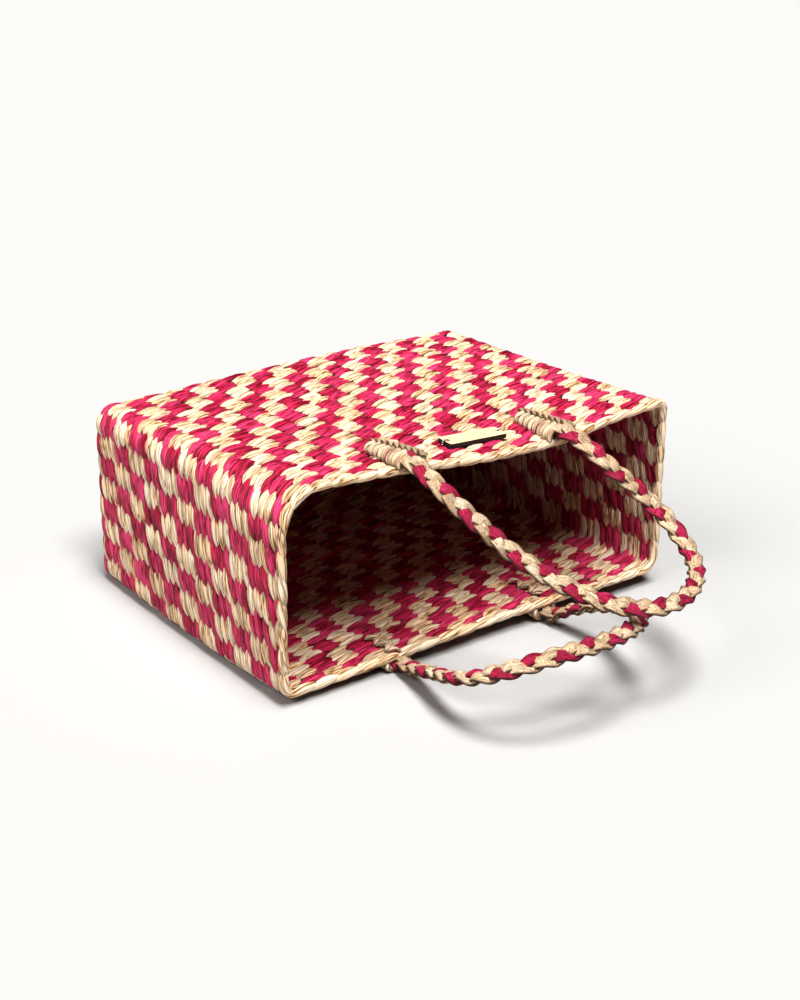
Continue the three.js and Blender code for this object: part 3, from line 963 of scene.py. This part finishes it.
# Lashings
# Eight natural blades wrap each braid end side by side, and a small plait runs along one long edge. In
# front a thin pink blade shows between two wraps. At the back the sewing also shows inside the panel.
strip_tree, value = shape_tree(
    "straw strips",
    {"Flatness": "Float", "Taper": "Float", "Sides": "Int", "Smoothness": "Int", "Material": "Material"},
)
tree = strip_tree
lines = node(tree, "GeometryNodeMeshToCurve", mesh=value["Geometry"])
lines = node(tree, "GeometryNodeCurveSplineType", settings={"spline_type": "CATMULL_ROM"}, curve=lines)
lines = node(tree, "GeometryNodeSetSplineResolution", geometry=lines, resolution=value["Smoothness"])
lines = node(
    tree,
    "GeometryNodeSetCurveNormal",
    settings={"mode": "FREE"},
    curve=lines,
    normal=read(tree, "across", "FLOAT_VECTOR"),
)
share = node(tree, "GeometryNodeSplineParameter", output="Factor")
lines = stored(tree, lines, "length", node(tree, "GeometryNodeSplineParameter", output="Length"))
ends = ((share * (share * -1.0 + 1.0) * 4.0).math("MAXIMUM", 0.0001)).math("POWER", value["Taper"])
profile = node(
    tree,
    "GeometryNodeCurvePrimitiveCircle",
    settings={"mode": "RADIUS"},
    resolution=value["Sides"],
    radius=0.5,
)
profile = stored(tree, profile, "rim", node(tree, "GeometryNodeInputPosition"), "FLOAT_VECTOR")
rim_x, rim_y, _ = parts_of(tree, node(tree, "GeometryNodeInputPosition"))
flat = joined(tree, rim_x, rim_y * value["Flatness"], 0.0)
profile = node(tree, "GeometryNodeSetPosition", geometry=profile, position=flat)
strips = node(
    tree,
    "GeometryNodeCurveToMesh",
    curve=lines,
    profile_curve=profile,
    scale=read(tree, "width") * ends,
    fill_caps=True,
)
side_x, side_y, _ = parts_of(tree, read(tree, "rim", "FLOAT_VECTOR"))
# The height across the strip, kept as the grain's second number, sets the painted shade at the strip's
# edges.
height = side_y.math("ABSOLUTE") * 2.2 + 0.04
strip_grain = joined(tree, side_x * 2.0, height, read(tree, "length") / GRAIN_LENGTH)
strips = stored(tree, strips, "grain", strip_grain, "FLOAT_VECTOR")
finish_tree(tree, strips, value["Material"])


def strip_lines(name, strips):
    """A mesh of open lines. Each strip is (points, width, direction across it, dye, tone)."""
    mesh = bpy.data.meshes.new(name)
    vertices, edges, widths, acrosses, dyes, tones = [], [], [], [], [], []
    for points, width, across, dye, tone in strips:
        first = len(vertices)
        vertices += points
        edges += [(first + i, first + i + 1) for i in range(len(points) - 1)]
        widths += [width] * len(points)
        acrosses += [c for _ in points for c in across]
        dyes += [dye] * len(points)
        tones += [tone] * len(points)
    mesh.from_pydata(vertices, edges, [])
    for label, kind, key, values in (
        ("width", "FLOAT", "value", widths),
        ("across", "FLOAT_VECTOR", "vector", acrosses),
        ("dye", "FLOAT", "value", dyes),
        ("tone", "FLOAT", "value", tones),
    ):
        mesh.attributes.new(label, kind, "POINT").data.foreach_set(key, values)
    return mesh


WRAPS = 8
WRAP_TONES = (0.55, 0.8, 0.45, 0.7, 0.35, 0.85, 0.6, 0.9)
WRAP_TURN = 0.05
CREST = ((-0.06, 0.36), (0.02, 0.62), (0.3, 0.84), (0.7, 0.98), (1.02, 1.04))
INNER_STITCHES = 5
INNER_TONES = (0.8, 0.5, 0.9, 0.6, 0.7)
INNER_PITCH = 0.0062
INNER_HALF = 0.0042
INNER_ARCH = ((-1.0, 0.0006), (-0.4, 0.0026), (0.4, 0.0026), (1.0, 0.0006))
LASHING_LENGTH = 0.040
LASHING_GAP = 0.0003
LASHING_WIDTH = 0.020
LASHING_REST = 0.011
OUTLINE = [(-0.47, -0.08), (-0.49, 0.32), (-0.41, 0.70), (-0.23, 0.92), (0.03, 0.97), (0.24, 0.93)]
OUTLINE += [(0.40, 0.76), (0.47, 0.42), (0.45, -0.08)]


def panel_height(station, x, front):
    """Height of a panel's outer face in the bag's own frame."""
    first = CORNER_STEPS if front else CORNER_STEPS + PANEL_RUN + GUSSET_RUN
    face = loop(station, 0.0)[first : first + PANEL_STEPS + 1]
    for (xa, za), (xb, zb) in zip(face, face[1:]):
        if (xa - x) * (xb - x) <= 0:
            return za + (zb - za) * (x - xa) / (xb - xa)
    return face[0][1]


def lashing(name, rear_x, mouth_x, front, height, inner_start=0.0):
    """One lashing: its wraps, its ridge, the braid end under them and, at the back, the stitches inside."""

    def spot(along, across, out):
        """A place on the lashing: along from 0 at the rear to 1 at the mouth, across and out as shares."""
        y = -BAG_HEIGHT / 2 - LASHING_GAP + LASHING_LENGTH * (1 - along)
        x = rear_x + (mouth_x - rear_x) * along + across * LASHING_WIDTH
        station = min((BAG_HEIGHT / 2 - y) / BAG_HEIGHT, 1.0)
        full = (BAG_HEIGHT / 2 - BASE_RADIUS - y) * math.tan(LEAN) * height / LASHING_REST
        z = panel_height(station, x, front)
        return seated(x, y, z + full * out) if front else seated(x, y, z - (full + z) * out)

    axis = (spot(1.0, 0.0, 0.5) - spot(0.0, 0.0, 0.5)).normalized()
    press = 1.0 if front else 0.47
    wrap_out = 0.90 if front else 0.74
    strips = []
    turn = [WRAP_TURN * i / (len(OUTLINE) - 1) for i in range(len(OUTLINE))]
    for k in range(WRAPS):
        rear = (k + 0.5) / WRAPS + 0.03
        width = 0.0042 + 0.0012 * max(0.0, (k - 4) / 3)
        grow = 0.70 + 0.30 * min(1.0, (k + 1) / 7)
        path = [spot(rear - t, a * grow * 0.94, o * grow * wrap_out) for t, (a, o) in zip(turn, OUTLINE)]
        strips.append((path, width, axis, 0.0, WRAP_TONES[k]))
    if front:
        path = [spot(0.66 - 0.4 * t, a, o * 1.01) for t, (a, o) in zip(turn, OUTLINE)]
        strips.append((path, 0.0012, axis, 1.0, 0.3))
    wraps = grown(
        name + "_wraps",
        strip_lines(name + " wraps", strips),
        strip_tree,
        {"Flatness": 0.85, "Taper": 0.04, "Sides": 14, "Smoothness": 5, "Material": braid_straw},
    )
    crest = [spot(a, 0.17 + 0.10 * a, o * press) for a, o in CREST]
    crest.append(spot(1.14, 0.30, 0.92 * press))
    ridge = [
        grown(
            f"{name}_ridge_{strand + 1}",
            curve_from(name + " ridge", crest),
            strand_tree,
            {
                "Strand": strand,
                "Phase": 0.4,
                "Face": (0.35, -0.1, 0.93) if front else (0.35, -0.1, -0.93),
                "Swing": 0.0018,
                "Depth": 0.0012,
                "Period": 0.0170,
                "Strand width": 0.0052,
                "Strand thickness": 0.0032,
                "Steps": 110,
                "Sides": 10,
                "Dye": 0.0,
                "Material": braid_straw,
            },
        )
        for strand in range(3)
    ]
    core_line = [spot(a, -0.01, 0.36) for a in (0.06, 0.35, 0.7, 0.985)]
    side = (spot(0.5, 0.4, 0.5) - spot(0.5, -0.4, 0.5)).normalized()
    core = grown(
        name + "_core",
        strip_lines(name + " core", [(core_line, LASHING_WIDTH * 0.74, side, 0.0, 0.1)]),
        strip_tree,
        {"Flatness": 0.36, "Taper": 0.12, "Sides": 16, "Smoothness": 6, "Material": braid_straw},
    )
    pieces = [wraps, *ridge, core]
    if not front:
        stitches = []
        x = rear_x + (0.003 if rear_x > 0 else 0.0)
        for k in range(INNER_STITCHES):
            y = inner_start + INNER_PITCH * k
            lean = 0.0022 * (1 if k % 2 else -1)
            points = []
            for share, lift in INNER_ARCH:
                at_x = x + INNER_HALF * share
                at_y = y + lean * share
                inner = panel_height((BAG_HEIGHT / 2 - at_y) / BAG_HEIGHT, at_x, False) + WALL
                points.append(seated(at_x, at_y, inner + lift))
            stitches.append((points, 0.0042, (0.0, 1.0, 0.0), 0.0, INNER_TONES[k]))
        pieces.append(
            grown(
                name + "_inner_stitches",
                strip_lines(name + " inner stitches", stitches),
                strip_tree,
                {"Flatness": 0.5, "Taper": 0.3, "Sides": 12, "Smoothness": 5, "Material": braid_straw},
            )
        )
    for piece in pieces:
        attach(piece, "root")
        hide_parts(name)


lashing("lashing_front_left", -0.068, -0.067, True, 0.0085)
lashing("lashing_front_right", 0.062, 0.063, True, 0.0085)
lashing("lashing_back_left", -0.077, -0.075, False, 0.011, -0.117)
lashing("lashing_back_right", 0.056, 0.056, False, 0.011, -0.108)

# Tag
# A small plate of pale laser-cut wood with burnt edges, bare on its face, tied on by a thread at each end.
WOOD_FACE = (0.86, 0.66, 0.42)
WOOD_LINE = (0.66, 0.44, 0.24)
BURNT = (0.018, 0.012, 0.009)
THREAD_BLACK = (0.02, 0.02, 0.02)
THREAD_WHITE = (0.80, 0.78, 0.74)
wood = bpy.data.materials.new("tag wood")
wood.use_nodes = True
tree = wood.node_tree
shader = tree.nodes["Principled BSDF"]
spot = Flow(tree, tree.nodes.new("ShaderNodeTexCoord").outputs["Object"])
facing = Flow(tree, tree.nodes.new("ShaderNodeNewGeometry").outputs["Normal"])
face_z = parts_of(tree, facing)[2]
stretched = spot * (110.0, 1400.0, 900.0)
lines = node(tree, "ShaderNodeTexNoise", vector=stretched, scale=1.0, detail=3.0, roughness=0.6)
smoke = node(tree, "ShaderNodeTexNoise", vector=spot * (300.0, 300.0, 300.0), scale=1.0, detail=2.0)
grain_colour = ramp(tree, lines, [(0.35, WOOD_LINE), (0.62, WOOD_FACE)])
cut = (face_z * -1.0 + 0.86 + (smoke - 0.5) * 0.1) * 9.0
cut = cut.math("MAXIMUM", 0.0).math("MINIMUM", 1.0)
connect(tree, shader.inputs["Base Color"], mixed(tree, cut, grain_colour, (*BURNT, 1.0)))
shader.inputs["Roughness"].default_value = 0.62
made = tree.nodes.new("ShaderNodeBump")
made.inputs["Strength"].default_value = 0.5
made.inputs["Distance"].default_value = 0.0002
connect(tree, made.inputs["Height"], lines)
tree.links.new(made.outputs["Normal"], shader.inputs["Normal"])
thread = bpy.data.materials.new("tag thread")
thread.use_nodes = True
tree = thread.node_tree
shader = tree.nodes["Principled BSDF"]
spot = Flow(tree, tree.nodes.new("ShaderNodeTexCoord").outputs["Object"])
ply = node(
    tree,
    "ShaderNodeTexWave",
    settings={"bands_direction": "DIAGONAL"},
    vector=spot,
    scale=420.0,
    distortion=1.0,
)
ply_colour = ramp(tree, ply, [(0.40, THREAD_BLACK), (0.55, THREAD_WHITE)])
connect(tree, shader.inputs["Base Color"], ply_colour)
shader.inputs["Roughness"].default_value = 0.8
made = tree.nodes.new("ShaderNodeBump")
made.inputs["Strength"].default_value = 0.8
made.inputs["Distance"].default_value = 0.0002
connect(tree, made.inputs["Height"], ply)
tree.links.new(made.outputs["Normal"], shader.inputs["Normal"])
for name, finish in (("tag", wood), ("tag_tie_left", thread), ("tag_tie_right", thread)):
    solid = bpy.data.objects[name]
    for slot in solid.material_slots:
        slot.material = finish

# Floor and light
# A plain pale floor under a light overhead, with more light from the left and from above in front.
REACH = 9.0
floor_corners = [(-REACH, -REACH, 0), (REACH, -REACH, 0), (REACH, REACH, 0), (-REACH, REACH, 0)]
floor_mesh = bpy.data.meshes.new("floor")
floor_mesh.from_pydata(floor_corners, [], [(0, 1, 2, 3)])
floor = bpy.data.objects.new("floor", floor_mesh)
scene.collection.objects.link(floor)
paint = bpy.data.materials.new("floor paint")
paint.use_nodes = True
shader = paint.node_tree.nodes["Principled BSDF"]
shader.inputs["Base Color"].default_value = (0.45, 0.447, 0.440, 1.0)
shader.inputs["Roughness"].default_value = 1.0
shader.inputs["Specular IOR Level"].default_value = 0.0
floor_mesh.materials.append(paint)
for label, energy, spread, turn in (
    ("overhead", 2.9, 0.38, (0.06, 0.0, 0.0)),
    ("left window", 1.9, 0.6, (-0.05, -0.88, 0.0)),
    ("front screen", 3.0, 0.36, (0.44, -0.10, 0.0)),
):
    sun = bpy.data.lights.new(label, "SUN")
    sun.energy = energy
    sun.angle = spread
    light = bpy.data.objects.new(label, sun)
    light.rotation_euler = turn
    scene.collection.objects.link(light)
world = bpy.data.worlds.new("room")
world.use_nodes = True
world.node_tree.nodes["Background"].inputs["Color"].default_value = (1.0, 0.99, 0.97, 1.0)
world.node_tree.nodes["Background"].inputs["Strength"].default_value = 0.01
scene.world = world
